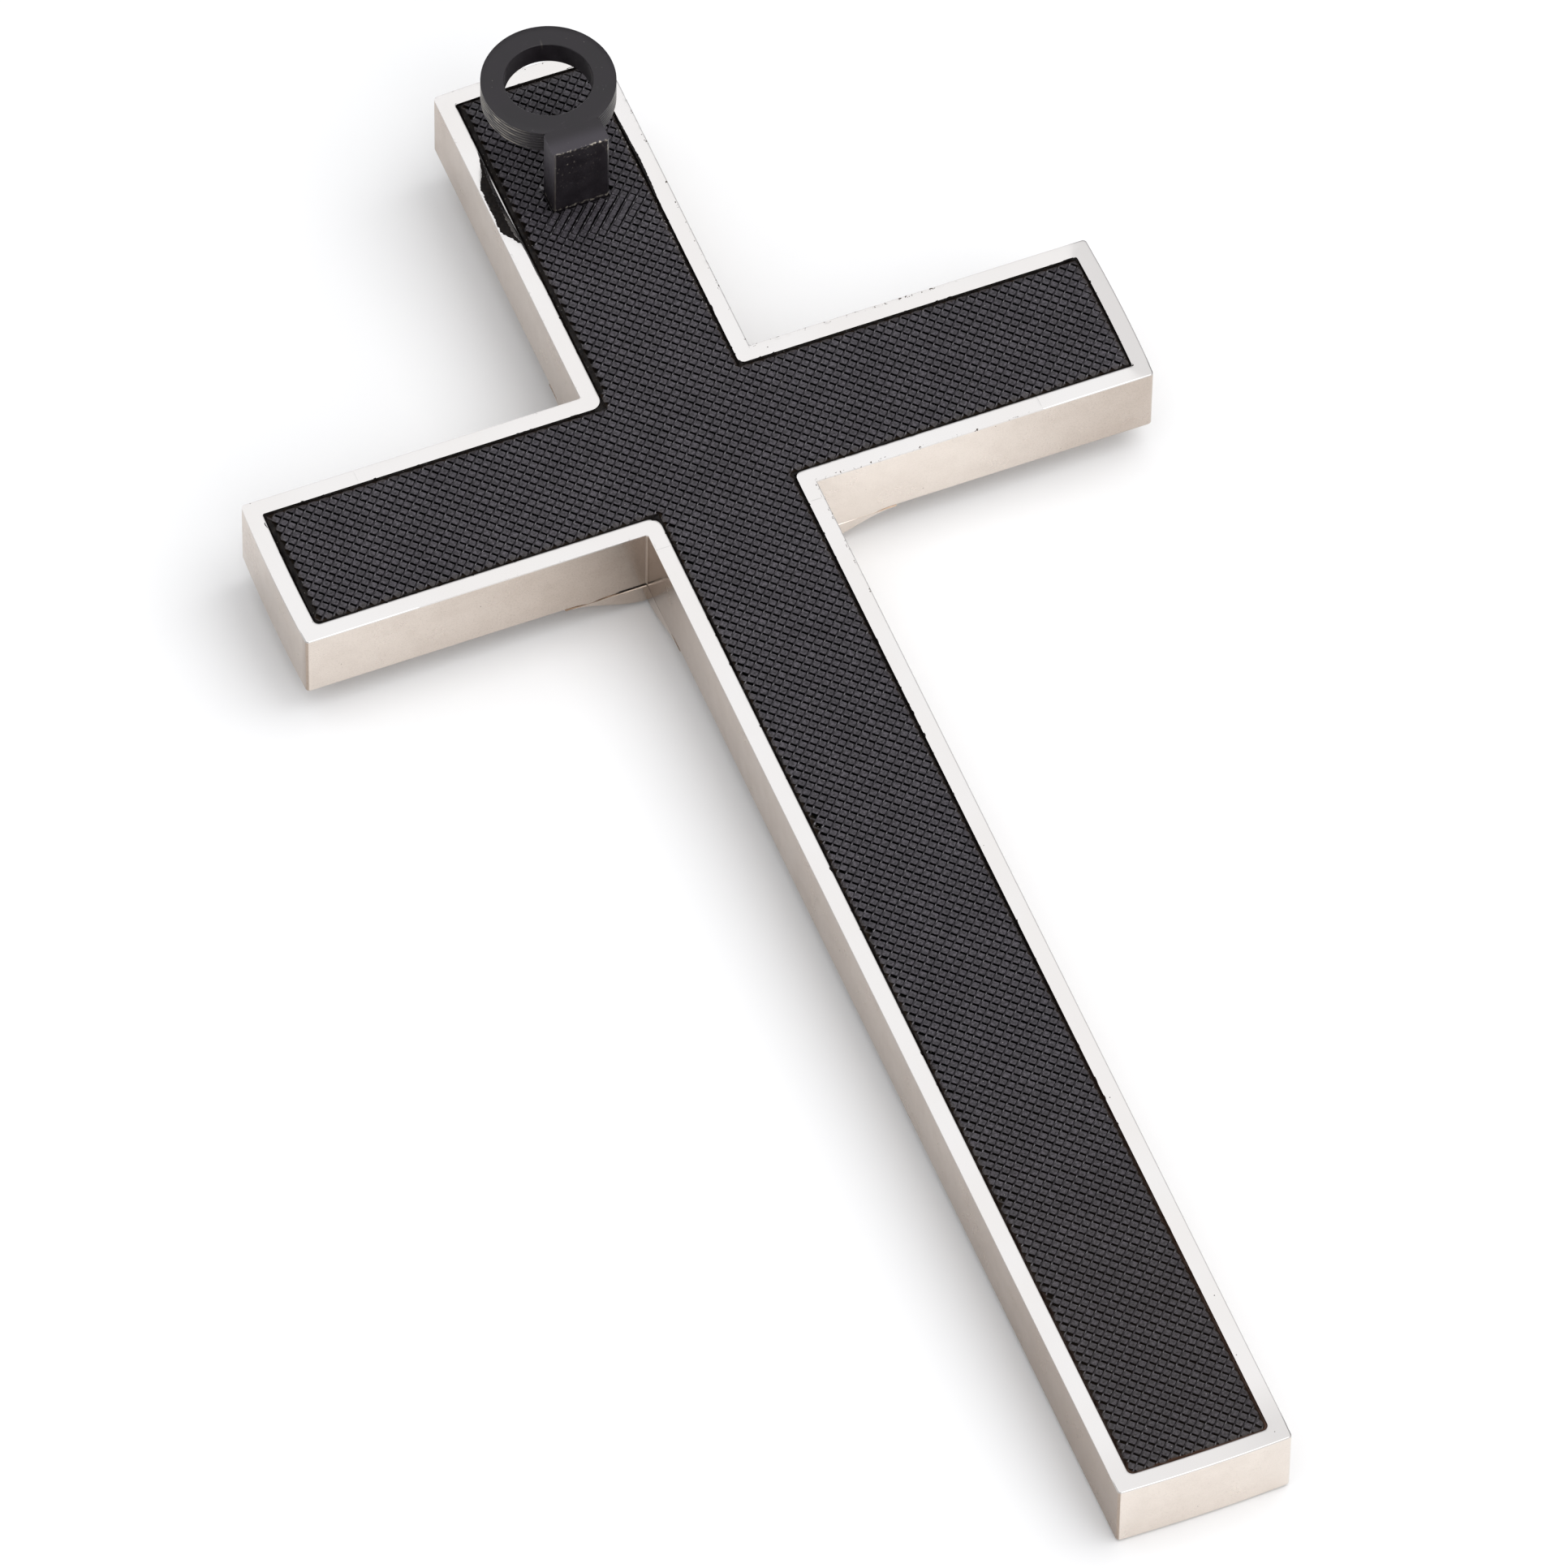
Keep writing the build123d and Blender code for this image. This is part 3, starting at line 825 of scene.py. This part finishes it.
def panel_sheet():
    """Points and faces of the embossed top, the faces that the outline may cross, and the points' marks."""
    points, faces, crossed, grime, scuffed, shared = [], [], [], [], [], {}

    def groove_point(i, j):
        """Point that cells share, carrying painted shade: full midway along the dark grooves, light midway
        along the others. Where two grooves cross it has no painted shade, is uneven and carries a painted
        highlight.
        """
        if (i, j) not in shared:
            x, y = lattice_xy(i * PITCH, j * PITCH)
            spot = (x, y, 0.0)
            lift = scuff = 0.0
            dirt = 1.0 if i % 1 else 0.12
            if i % 1 and j % 1:
                dirt = 0.0
                lift = 0.03 * MM * ripple(spot, 2.5 * MM, 1.3)
                scuff = min(1.0, max(0.0, 0.75 + 0.9 * ripple(spot, 0.9 * PITCH, 14.0)))
            shared[i, j] = len(points)
            points.append((x, y, GROOVE_Z + lift))
            grime.append(dirt)
            scuffed.append(scuff)
        return shared[i, j]

    for i, j, depth in panel_cells():
        left, right, low, high = i - 0.5, i + 0.5, j - 0.5, j + 0.5
        corners = [groove_point(*at) for at in ((left, low), (right, low), (right, high), (left, high))]
        middles = [groove_point(*at) for at in ((i, low), (right, j), (i, high), (left, j))]
        u, v = i * PITCH, j * PITCH
        x, y = lattice_xy(u, v)
        ragged = min(depth, soft_left(x, y)) + 0.35 * MM * ripple((x, y, 0.0), 5 * MM, 3.3)
        rise = ease(-0.1 * MM, BORDER, ragged)
        earlier = len(faces)
        if rise < 0.06:
            faces.append(tuple(point for pair in zip(corners, middles) for point in pair))
        else:
            drag = near_post(x, y)
            height = TILE_HEIGHT * rise * (0.94 + 0.07 * ripple((x, y, 0.0), 1.1 * PITCH, 5.5))
            first = len(points)
            points += tile_points(u, v, height, drag)
            faint, full = 0.18 + 0.6 * drag, 1.0 - 0.25 * climb(-60, -130, y)
            # Painted shade at the tiles' feet: full along the dark grooves and a little less towards the
            # foot, faint along the others but stronger below the post.
            grime += [faint, faint, full, full, faint, faint, full, full] + [0.0] * 8
            # Painted highlights at the tiles' front corners.
            scuffed += [0.5, 0, 0, 0, 0, 0, 0, 0.3] + [0.0] * 8
            foot = list(range(first, first + 8))
            top = list(range(first + 8, first + 16))
            for k in range(4):
                start, middle, end = corners[k], middles[k], corners[(k + 1) % 4]
                a, b, c = foot[2 * k - 1], foot[2 * k], foot[2 * k + 1]
                faces += [(start, b, a), (start, middle, b), (middle, c, b), (middle, end, c)]
            for k in range(8):
                faces.append((foot[k], foot[(k + 1) % 8], top[(k + 1) % 8], top[k]))
            faces.append(tuple(top))
        if depth < CELL_REACH:
            crossed += range(earlier, len(faces))
    return points, faces, crossed, grime, scuffed


def panel_cuts():
    """Planes that trim the sheet to its outline and to the hole for the post."""
    half, arm = HALF_BAR - PANEL_INSET, ARM_X - PANEL_INSET
    hole_x, hole_y = POST_HIGH.x + HOLE_GAP, POST_HIGH.y - POST_Y + HOLE_GAP
    ys = [CROSS_Y - half, CROSS_Y + half, TOP_Y - PANEL_INSET, FOOT_Y + PANEL_INSET]
    ys += [POST_Y - hole_y, POST_Y + hole_y]
    return upright_planes([-half, half, -arm, arm, -hole_x, hole_x], ys)


def round_panel_corners(bm):
    """Draws the sheet in to round corners at the four ends."""
    corners = cross_corners(PANEL_INSET)
    for k, corner in enumerate(corners):
        kind = corner_kind(k)
        if kind > 1:
            continue
        radius = PANEL_RADII[kind]
        before = (corners[k - 1] - corner).normalized()
        after = (corners[(k + 1) % len(corners)] - corner).normalized()
        into = before + after
        centre = corner + into * radius
        for vertex in bm.verts:
            away = vertex.co.xy - centre
            if away.x * into.x < 0 and away.y * into.y < 0 and away.length > radius:
                vertex.co.xy = centre + away.normalized() * radius


def make_panel():
    points, faces, crossed, grime, scuffed = panel_sheet()
    mesh = new_mesh("embossed_panel", points, faces)
    # Painted shade and painted highlights for the material to read.
    store(mesh, grime=grime, scuffed=scuffed)
    bm = bmesh.new()
    bm.from_mesh(mesh)
    bm.faces.ensure_lookup_table()
    cut_faces = set(bm.faces[index] for index in crossed)
    items = list(cut_faces)
    items += set(edge for face in cut_faces for edge in face.edges)
    items += set(vertex for face in cut_faces for vertex in face.verts)
    for plane in panel_cuts():
        items = cut_along(bm, items, plane)
    delete_faces(bm, lambda middle: panel_depth(middle.x, middle.y) < 0)
    bmesh.ops.remove_doubles(bm, verts=bm.verts, dist=1e-6)
    round_panel_corners(bm)
    rim = open_edges(bm.edges)
    for vertex in set(v for edge in rim for v in edge.verts):
        vertex.co.z = min(vertex.co.z, PANEL_HIGH.z - TILE_HEIGHT) - 0.08 * MM
    skirt, hem = extrude(bm, rim)
    for vertex in skirt:
        vertex.co.z = PANEL_LOW.z
    close_mesh(bm, hem, mesh)
    place = np.zeros(len(mesh.vertices) * 3)
    mesh.vertices.foreach_get("co", place)
    x, y, _ = place.reshape(-1, 3).T
    depth = inside_depth(x, y, PANEL_INSET)
    left = x + np.where(y < CROSS_Y + HALF_BAR, ARM_X, HALF_BAR) - PANEL_INSET - LEFT_MARGIN
    plain = np.where(y > CROSS_Y - HALF_BAR, np.minimum(depth, left), depth)
    foot = np.clip((-60 * MM - y) / (60 * MM), 0, 1)
    up = y - CROSS_Y
    chewed = np.clip((up - 18 * MM) / (8 * MM), 0, 1) * np.clip((72 * MM - up) / (8 * MM), 0, 1)
    flecked = chewed * (x > 0) * np.clip(1.3 - depth / (0.5 * MM), 0, 1)
    store(mesh, border=np.clip(1 - plain / BORDER, 0.34 * foot, 1), flecked=flecked)
    new_piece(mesh, RUBBER, ("back_panel",), crease=55.0)


# ---- cement

def make_cement_bead():
    """Cement squeezed up round the panel, with tags of it on the rim and the panel's edge."""
    pairs = outline_pairs((BAND_T, PANEL_INSET), (BAND_INNER_RADII, PANEL_RADII), spacing=BEAD_STATION)
    points, browned = [], []
    for outer, inner in pairs:
        spot = (outer.x, outer.y, 0.0)
        foot = climb(-40, -130, outer.y)
        tag = max(0.0, ripple(spot, 0.9 * MM, 21.0) - 0.26) * 0.5 * (1 - foot)
        low = RIM_Z - (0.62 + 0.1 * ripple(spot, 2.0 * MM, 25.0) - 0.3 * foot) * MM
        away = (outer - inner).normalized()
        wide = ease(0.6, 0.95, -away.x) if outer.y > CROSS_Y - HALF_BAR else 0.0
        lap = max(0.0, ripple(spot, 1.6 * MM, 23.0) - 0.15) * 0.7
        lap = max(lap, wide * (0.72 + 0.25 * ripple(spot, 1.2 * MM, 29.0)))
        crest = RIM_Z - (0.3 + 0.34 * ripple(spot, 1.4 * MM, 27.0) - 0.1 * foot) * MM
        rim_z = RIM_Z + 0.012 * MM if tag > 0 else min(crest, RIM_Z - 0.06 * MM)
        profile = [
            (outer + away * (tag + 0.02) * MM, rim_z - 0.03 * MM),
            (outer + away * tag * 0.6 * MM, rim_z),
            (outer - away * 0.04 * MM, rim_z - 0.05 * MM),
            ((outer + inner) / 2, low),
            (inner + away * 0.05 * MM, low + 0.1 * MM + (0.25 * MM if lap > 0 else 0.0)),
            (inner - away * lap * 0.5 * MM, GROOVE_Z + (0.05 + 0.12 * wide if lap > 0 else -0.25) * MM),
            (inner - away * (lap + 0.05) * MM, GROOVE_Z + (0.07 * wide if lap > 0 else -0.3) * MM),
        ]
        points += [(p.x, p.y, z) for p, z in profile]
        browned += [foot * (0.2 + 0.55 * max(0.0, -away.y) + 0.15 * max(0.0, away.x))] * len(profile)
    faces = grid_faces(len(pairs), len(points) // len(pairs), close_rows=True, flip=True)
    mesh = marked_mesh("cement_bead", points, faces, browned=browned)
    new_piece(mesh, CEMENT)


def cement_smear(name, left, right, thickness, seed):
    """Ragged skin of cement on the rim between two edges, lists of (across, up) in mm."""
    bottom, top = max(left[0][1], right[0][1]), min(left[-1][1], right[-1][1])
    rows, columns = round((top - bottom) / 0.12), 14
    points = []
    for row in range(rows + 1):
        up = bottom + (top - bottom) * row / rows
        edges = [float(np.interp(up, [p[1] for p in edge], [p[0] for p in edge])) for edge in (left, right)]
        loose = min(1.0, edges[1] - edges[0])
        for number in range(2):
            fine, coarse = ripple((up, 0, 0), 0.42, seed + number), ripple((up, 0, 0), 1.9, seed + 3 + number)
            edges[number] += (0.22 * fine + 0.16 * coarse) * loose
        for column in range(columns + 1):
            share = column / columns
            x = edges[0] + (edges[1] - edges[0]) * share
            swell = min(1.0, 4 * math.sin(math.pi * share)) * min(1.0, 3 * math.sin(math.pi * row / rows))
            lump = 0.75 + 0.6 * ripple((x, up, 0.0), 0.8, seed + 9)
            z = RIM_Z - 0.02 * MM + (0.03 + thickness * max(0.0, lump)) * swell * MM
            points.append((x * MM, CROSS_Y + up * MM, z))
    mesh = marked_mesh(name, points, grid_faces(rows + 1, columns + 1))
    new_piece(mesh, CEMENT)


def make_smears():
    left_edge = [(-12.7, 48.1), (-13.5, 49.9), (-14.6, 51.2), (-14.85, 52.4), (-14.6, 57.0)]
    left_edge += [(-14.65, 61.8), (-13.2, 64.4), (-12.5, 67.7)]
    right_edge = [(-12.2, 48.1), (-12.9, 50.6), (-13.0, 58.0), (-12.75, 63.0), (-12.2, 67.7)]
    cement_smear("cement_smear_left", left_edge, right_edge, 0.05, 31.0)
    cement_smear("cement_smear_right", [(11.9, 49.5), (12.0, 57.0), (11.9, 66.0)],
                 [(12.25, 49.5), (12.5, 57.0), (12.2, 66.0)], 0.03, 37.0)


# ---- hanger

def ring_profile():
    """Half section of the ring as (radius, height), with turned grooves outside."""
    low, high = RING_LOW.z, RING_HIGH.z - 0.004 * MM
    edge = 0.1 * MM
    points = [(BORE_R, low + edge), (BORE_R + edge, low), (RING_R - edge, low), (RING_R, low + edge)]
    turns, steps = 6, 36
    start, end = low + 2 * edge, high - 2 * edge
    for step in range(steps + 1):
        share = step / steps
        depth = 0.08 * MM * (0.5 - 0.5 * math.cos(2 * math.pi * share * turns)) ** 3
        points.append((RING_R - depth, start + (end - start) * share))
    points += [(RING_R, high - edge), (RING_R - edge * 0.3, high - edge * 0.3), (RING_R - edge, high)]
    points += [(RING_R - 1.2 * MM, high), (BORE_R + 1.2 * MM, high)]
    points += [(BORE_R + edge, high), (BORE_R, high - edge)]
    points += [(BORE_R, high - (high - low) * share) for share in (0.35, 0.65)]
    return points


def make_ring():
    profile, turns = ring_profile(), 224
    points, worn = [], []
    for step in range(turns):
        angle = 2 * math.pi * step / turns
        cosine, sine = math.cos(angle), math.sin(angle)
        for radius, z in profile:
            spot = (radius * cosine, radius * sine, z)
            at_bore = radius < BORE_R + 0.11 * MM
            at_edge = z > RING_HIGH.z - 0.12 * MM and (radius > RING_R - 0.11 * MM or at_bore)
            chip = max(0.0, ripple(spot, 0.8 * MM, 41.0) - 0.42) if at_edge else 0.0
            wobble = 1 - 0.0006 * (1 + ripple(spot, 6 * MM, 43.0)) if radius > BORE_R + MM else 1.0
            x, y = radius * wobble * cosine, radius * wobble * sine
            points.append((x, RING_Y + y, z - chip * 0.12 * MM))
            turned = radius > RING_R - 0.01 * MM and z < RING_HIGH.z - 0.2 * MM
            # Painted sheen: pale metallic streaks on the left and right sides of the ring's turned wall,
            # where it reflects light.
            streak = 0.5 * max(0.0, 0.45 + ripple((0.0, y, z * 3), 1.5 * MM, 45.0))
            streak *= ease(0.55, 0.9, abs(cosine)) if turned else 0.0
            worn.append(min(0.5, chip * 1.2) if at_bore and sine > 0.3 else streak)
    faces = grid_faces(turns, len(profile), close_columns=True, close_rows=True, flip=True)
    mesh = marked_mesh("hanging_ring", points, faces, worn=worn)
    keep_flat(new_piece(mesh, BLACKENED, ("hanger_ring",)))


def post_loop(shrink):
    """Outline of the bar drawn in by shrink, with whether each point is on a bevel."""
    shape = octagon(POST_HIGH.x - shrink, POST_HIGH.y - POST_Y - shrink, POST_BEVEL, POST_BEVEL)
    parts_by_side = {0: 72, 2: 32, 4: 24, 6: 32}
    points = []
    for k, start in enumerate(shape):
        parts = parts_by_side.get(k, 4)
        for part in range(parts):
            x, y = (a + (b - a) * (part / parts) for a, b in zip(start, shape[(k + 1) % len(shape)]))
            points.append((x, y, k % 2 == 1))
    return points


def post_wear(x, y, z, on_bevel):
    """How far the black has come off the post: chips on the top front edge and its corners, plus a painted
    highlight along the left front bevel.
    """
    spot = (x, y, z)
    chips = max(0.0, ripple(spot, 0.42 * MM, 51.0) + 0.35 * ripple(spot, 0.17 * MM, 53.0))
    down = POST_HIGH.z - z
    front = climb(0.35, 0.05, y - POST_LOW.y)
    top_edge = front * climb(0.55, 0.08, down) * (0.45 + 0.55 * climb(-1, 3, x))
    right_edge = on_bevel * front * climb(2.5, 4.5, x) * climb(6, 1, down) * 0.6
    base = climb(0.8, 0.2, z - RIM_Z) * 0.4 if z > RIM_Z else 0.0
    # Painted highlight along the left front bevel.
    rubbed = 0.16 * on_bevel * front * climb(2.5, 4.5, -x) * (0.7 + 0.6 * ripple(spot, 1.5 * MM, 57.0))
    left = 0.35 + 0.65 * climb(2, -4, x)
    speckle = front * left * max(0.0, ripple(spot, 0.3 * MM, 59.0) - 0.48) * 2.2 * climb(12, 1, down)
    return min(1.0, 2.6 * chips * max(top_edge, right_edge, base) + rubbed + speckle)


def make_post():
    high, steps = POST_HIGH.z, 56
    levels = [PANEL_LOW.z, RIM_Z] + [RIM_Z + 0.15 * MM * k for k in range(1, 9)]
    start, end = levels[-1], high - 1.6 * MM
    levels += [start + (end - start) * (k + 1) / steps for k in range(steps)]
    levels += [end + 0.1 * MM * (k + 1) for k in range(15)]
    rings = [(z, 0.0) for z in levels] + [(high - 0.03 * MM, 0.02 * MM), (high, 0.06 * MM)]
    rings += [(high, inset * MM) for inset in (0.18, 0.35, 0.6, 0.9, 1.3, 1.8)]
    points, worn, greyed = [], [], []
    for z, shrink in rings:
        for x, y, on_bevel in post_loop(shrink):
            left = climb(0.3, 0.1, x + POST_HIGH.x)
            front = 0.7 * ease(POST_HIGH.y - POST_Y - MM, POST_LOW.y - POST_Y + MM, y)
            # Painted light: the top lighter towards the front, the left face lighter towards the top.
            greyed.append(front if z >= high - 0.01 * MM else left * ease(RIM_Z, high - 2 * MM, z))
            bare = post_wear(x, POST_Y + y, z, on_bevel)
            inward = Vector((x, y)).normalized() * bare * 0.05 * MM
            sunk = bare * 0.05 * MM if z > high - 0.2 * MM else 0.0
            points.append((x - inward.x, POST_Y + y - inward.y, z - sunk))
            worn.append(bare)
    count = len(post_loop(0.0))
    faces = grid_faces(len(rings), count, close_columns=True)
    faces.append(tuple(range(len(points) - count, len(points))))
    faces.append(tuple(range(count - 1, -1, -1)))
    mesh = marked_mesh("ring_post", points, faces, worn=worn, greyed=greyed)
    new_piece(mesh, BLACKENED, ("hanger_post",))


# ---- front

def boss_drop(radius):
    """How far the boss stands out at a radius: a low crown with a hollow foot."""
    height = FRONT_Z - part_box("centre_boss")[0].z
    crown = height - radius * radius / (2 * BOSS_CROWN_R)
    return crown * (1 - ease(BOSS_SHOULDER_R, BOSS_FOOT_R, radius))


def make_boss():
    """Boss turned as a dome and cut to the cross outline."""
    rings, turns = 56, 200
    heights = [boss_drop(BOSS_FOOT_R * ring / rings) for ring in range(rings + 1)]
    points = [(0.0, CROSS_Y, FRONT_Z - heights[0])]
    for ring in range(1, rings + 1):
        radius = BOSS_FOOT_R * ring / rings
        for step in range(turns):
            angle = 2 * math.pi * step / turns
            x, y = radius * math.cos(angle), radius * math.sin(angle)
            points.append((x, CROSS_Y + y, FRONT_Z - heights[ring]))
    faces = [(0, 1 + (step + 1) % turns, 1 + step) for step in range(turns)]
    faces += grid_faces(rings, turns, first=1, close_columns=True, flip=True)
    mesh = new_mesh("front_boss", points, faces)
    bm = bmesh.new()
    bm.from_mesh(mesh)
    half = HALF_BAR - BOSS_SETBACK
    for plane in upright_planes([-half, half], [CROSS_Y - half, CROSS_Y + half]):
        cut_along(bm, [*bm.verts, *bm.edges, *bm.faces], plane)
    delete_faces(bm, lambda middle: abs(middle.x) > half and abs(middle.y - CROSS_Y) > half)
    skirt, hem = extrude(bm, open_edges(bm.edges))
    for vertex in skirt:
        room = FRONT_Z - vertex.co.z
        away = max(abs(vertex.co.x), abs(vertex.co.y - CROSS_Y)) - HALF_BAR
        vertex.co.z += max(room - BOSS_BREAK * climb(8, 4, away), room / 2)
    skirt, hem = extrude(bm, hem)
    for vertex in skirt:
        room = FRONT_Z - vertex.co.z
        vertex.co.z = FRONT_Z
        for axis, middle in enumerate((0.0, CROSS_Y)):
            off = vertex.co[axis] - middle
            if abs(off) > half - 1e-6:
                vertex.co[axis] -= math.copysign(room, off)
    close_mesh(bm, hem, mesh)
    # The boss's left part is darkened and browned, as tarnish and painted shade.
    store(mesh, tarnish=[0.35 if vertex.co.x < -HALF_BAR / 2 else 0.0 for vertex in mesh.vertices])
    new_piece(mesh, SILVER, ("centre_boss",))


# ---- CAD nodes carried over

def dress_cad_nodes():
    """These nodes keep their CAD meshes and get finishes."""
    wood = ("core_upright", "core_crossbar")
    iron = ("anchor_plate", "plate_screws", "post_screws", "boss_screws")
    nodes = {SILVER: ("front_plate",), CEMENT: ("adhesive_bed",), WOOD: wood, STEEL: iron}
    for finish, names in nodes.items():
        for name in names:
            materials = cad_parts[name].data.materials
            materials.clear()
            materials.append(finish)


# ---- studio

def make_floor():
    """White board that the boss and the foot's front edge both rest on."""
    slope = math.atan2(FRONT_Z, CROSS_Y - FOOT_Y)
    ticks = [FLOOR_REACH * (2 * tick / FLOOR_CELLS - 1) for tick in range(FLOOR_CELLS + 1)]
    mesh = new_mesh("floor", [(x, y, 0.0) for y in ticks for x in ticks], grid_faces(len(ticks), len(ticks)))
    mesh.materials.append(floor_finish())
    floor = new_object("floor", mesh)
    sink = BOSS_CROWN_R * (1 / math.cos(slope) - 1)
    floor.matrix_world = Matrix.Translation((0, CROSS_Y, -sink)) @ Matrix.Rotation(-slope, 4, "X")


def set_up(name, data, place, direction, roll=0.0):
    """Adds a camera or a lamp at a place, looking in a direction."""
    stand = new_object(name, data)
    stand.location = place
    stand.rotation_mode = "QUATERNION"
    level = direction.to_track_quat("-Z", "Y").to_matrix()
    stand.rotation_quaternion = (level @ Matrix.Rotation(roll, 3, "Z")).to_quaternion()
    return stand


def make_key():
    """Large square lamp high on the right, left out of reflections."""
    lamp = bpy.data.lights.new("key", "AREA")
    lamp.shape = "SQUARE"
    lamp.size = KEY_SIZE
    lamp.energy = KEY_POWER
    set_up("key", lamp, KEY_PLACE, -KEY_PLACE).visible_glossy = False


def make_world():
    """White studio with banks of light: wide overhead, narrow at the foot, dim on the right."""
    world = bpy.data.worlds.new("studio")
    world.use_nodes = True
    n = Nodes(world.node_tree, "Generated")
    banks = [
        ((-0.08, 0.03, 1.0), 0.45, 0.8, 0.95),
        ((0.15, -0.85, 0.5), 0.78, 0.97, 1.3),
        ((0.8, -0.45, 0.4), 0.7, 0.95, 0.4),
    ]
    strength = WORLD_BASE
    for toward, edge, full, power in banks:
        nearness = n.vector("DOT_PRODUCT", n.place, Vector(toward).normalized())
        strength = n.math("ADD", n.ramp(nearness, edge, full, 0.0, power), strength)
    background = n.tree.nodes["Background"]
    n.feed(background.inputs["Strength"], strength)
    n.feed(background.inputs["Color"], (0.995, 1.0, 1.015))
    bpy.context.scene.world = world


def make_camera():
    level = math.cos(CAMERA_ELEVATION)
    back = (math.sin(CAMERA_AZIMUTH) * level, -math.cos(CAMERA_AZIMUTH) * level, math.sin(CAMERA_ELEVATION))
    camera = bpy.data.cameras.new("camera")
    camera.lens = CAMERA_LENS
    camera.sensor_width = 36.0
    camera.clip_start, camera.clip_end = 0.1, 20.0
    place = AIM + Vector(back) * CAMERA_DISTANCE
    bpy.context.scene.camera = set_up("camera", camera, place, -Vector(back), CAMERA_ROLL)


make_camera()
make_world()
make_floor()
make_key()
bpy.context.scene.view_settings.view_transform = "Standard"

make_bands()
make_panel()
make_cement_bead()
make_smears()
make_ring()
make_post()
make_boss()
dress_cad_nodes()
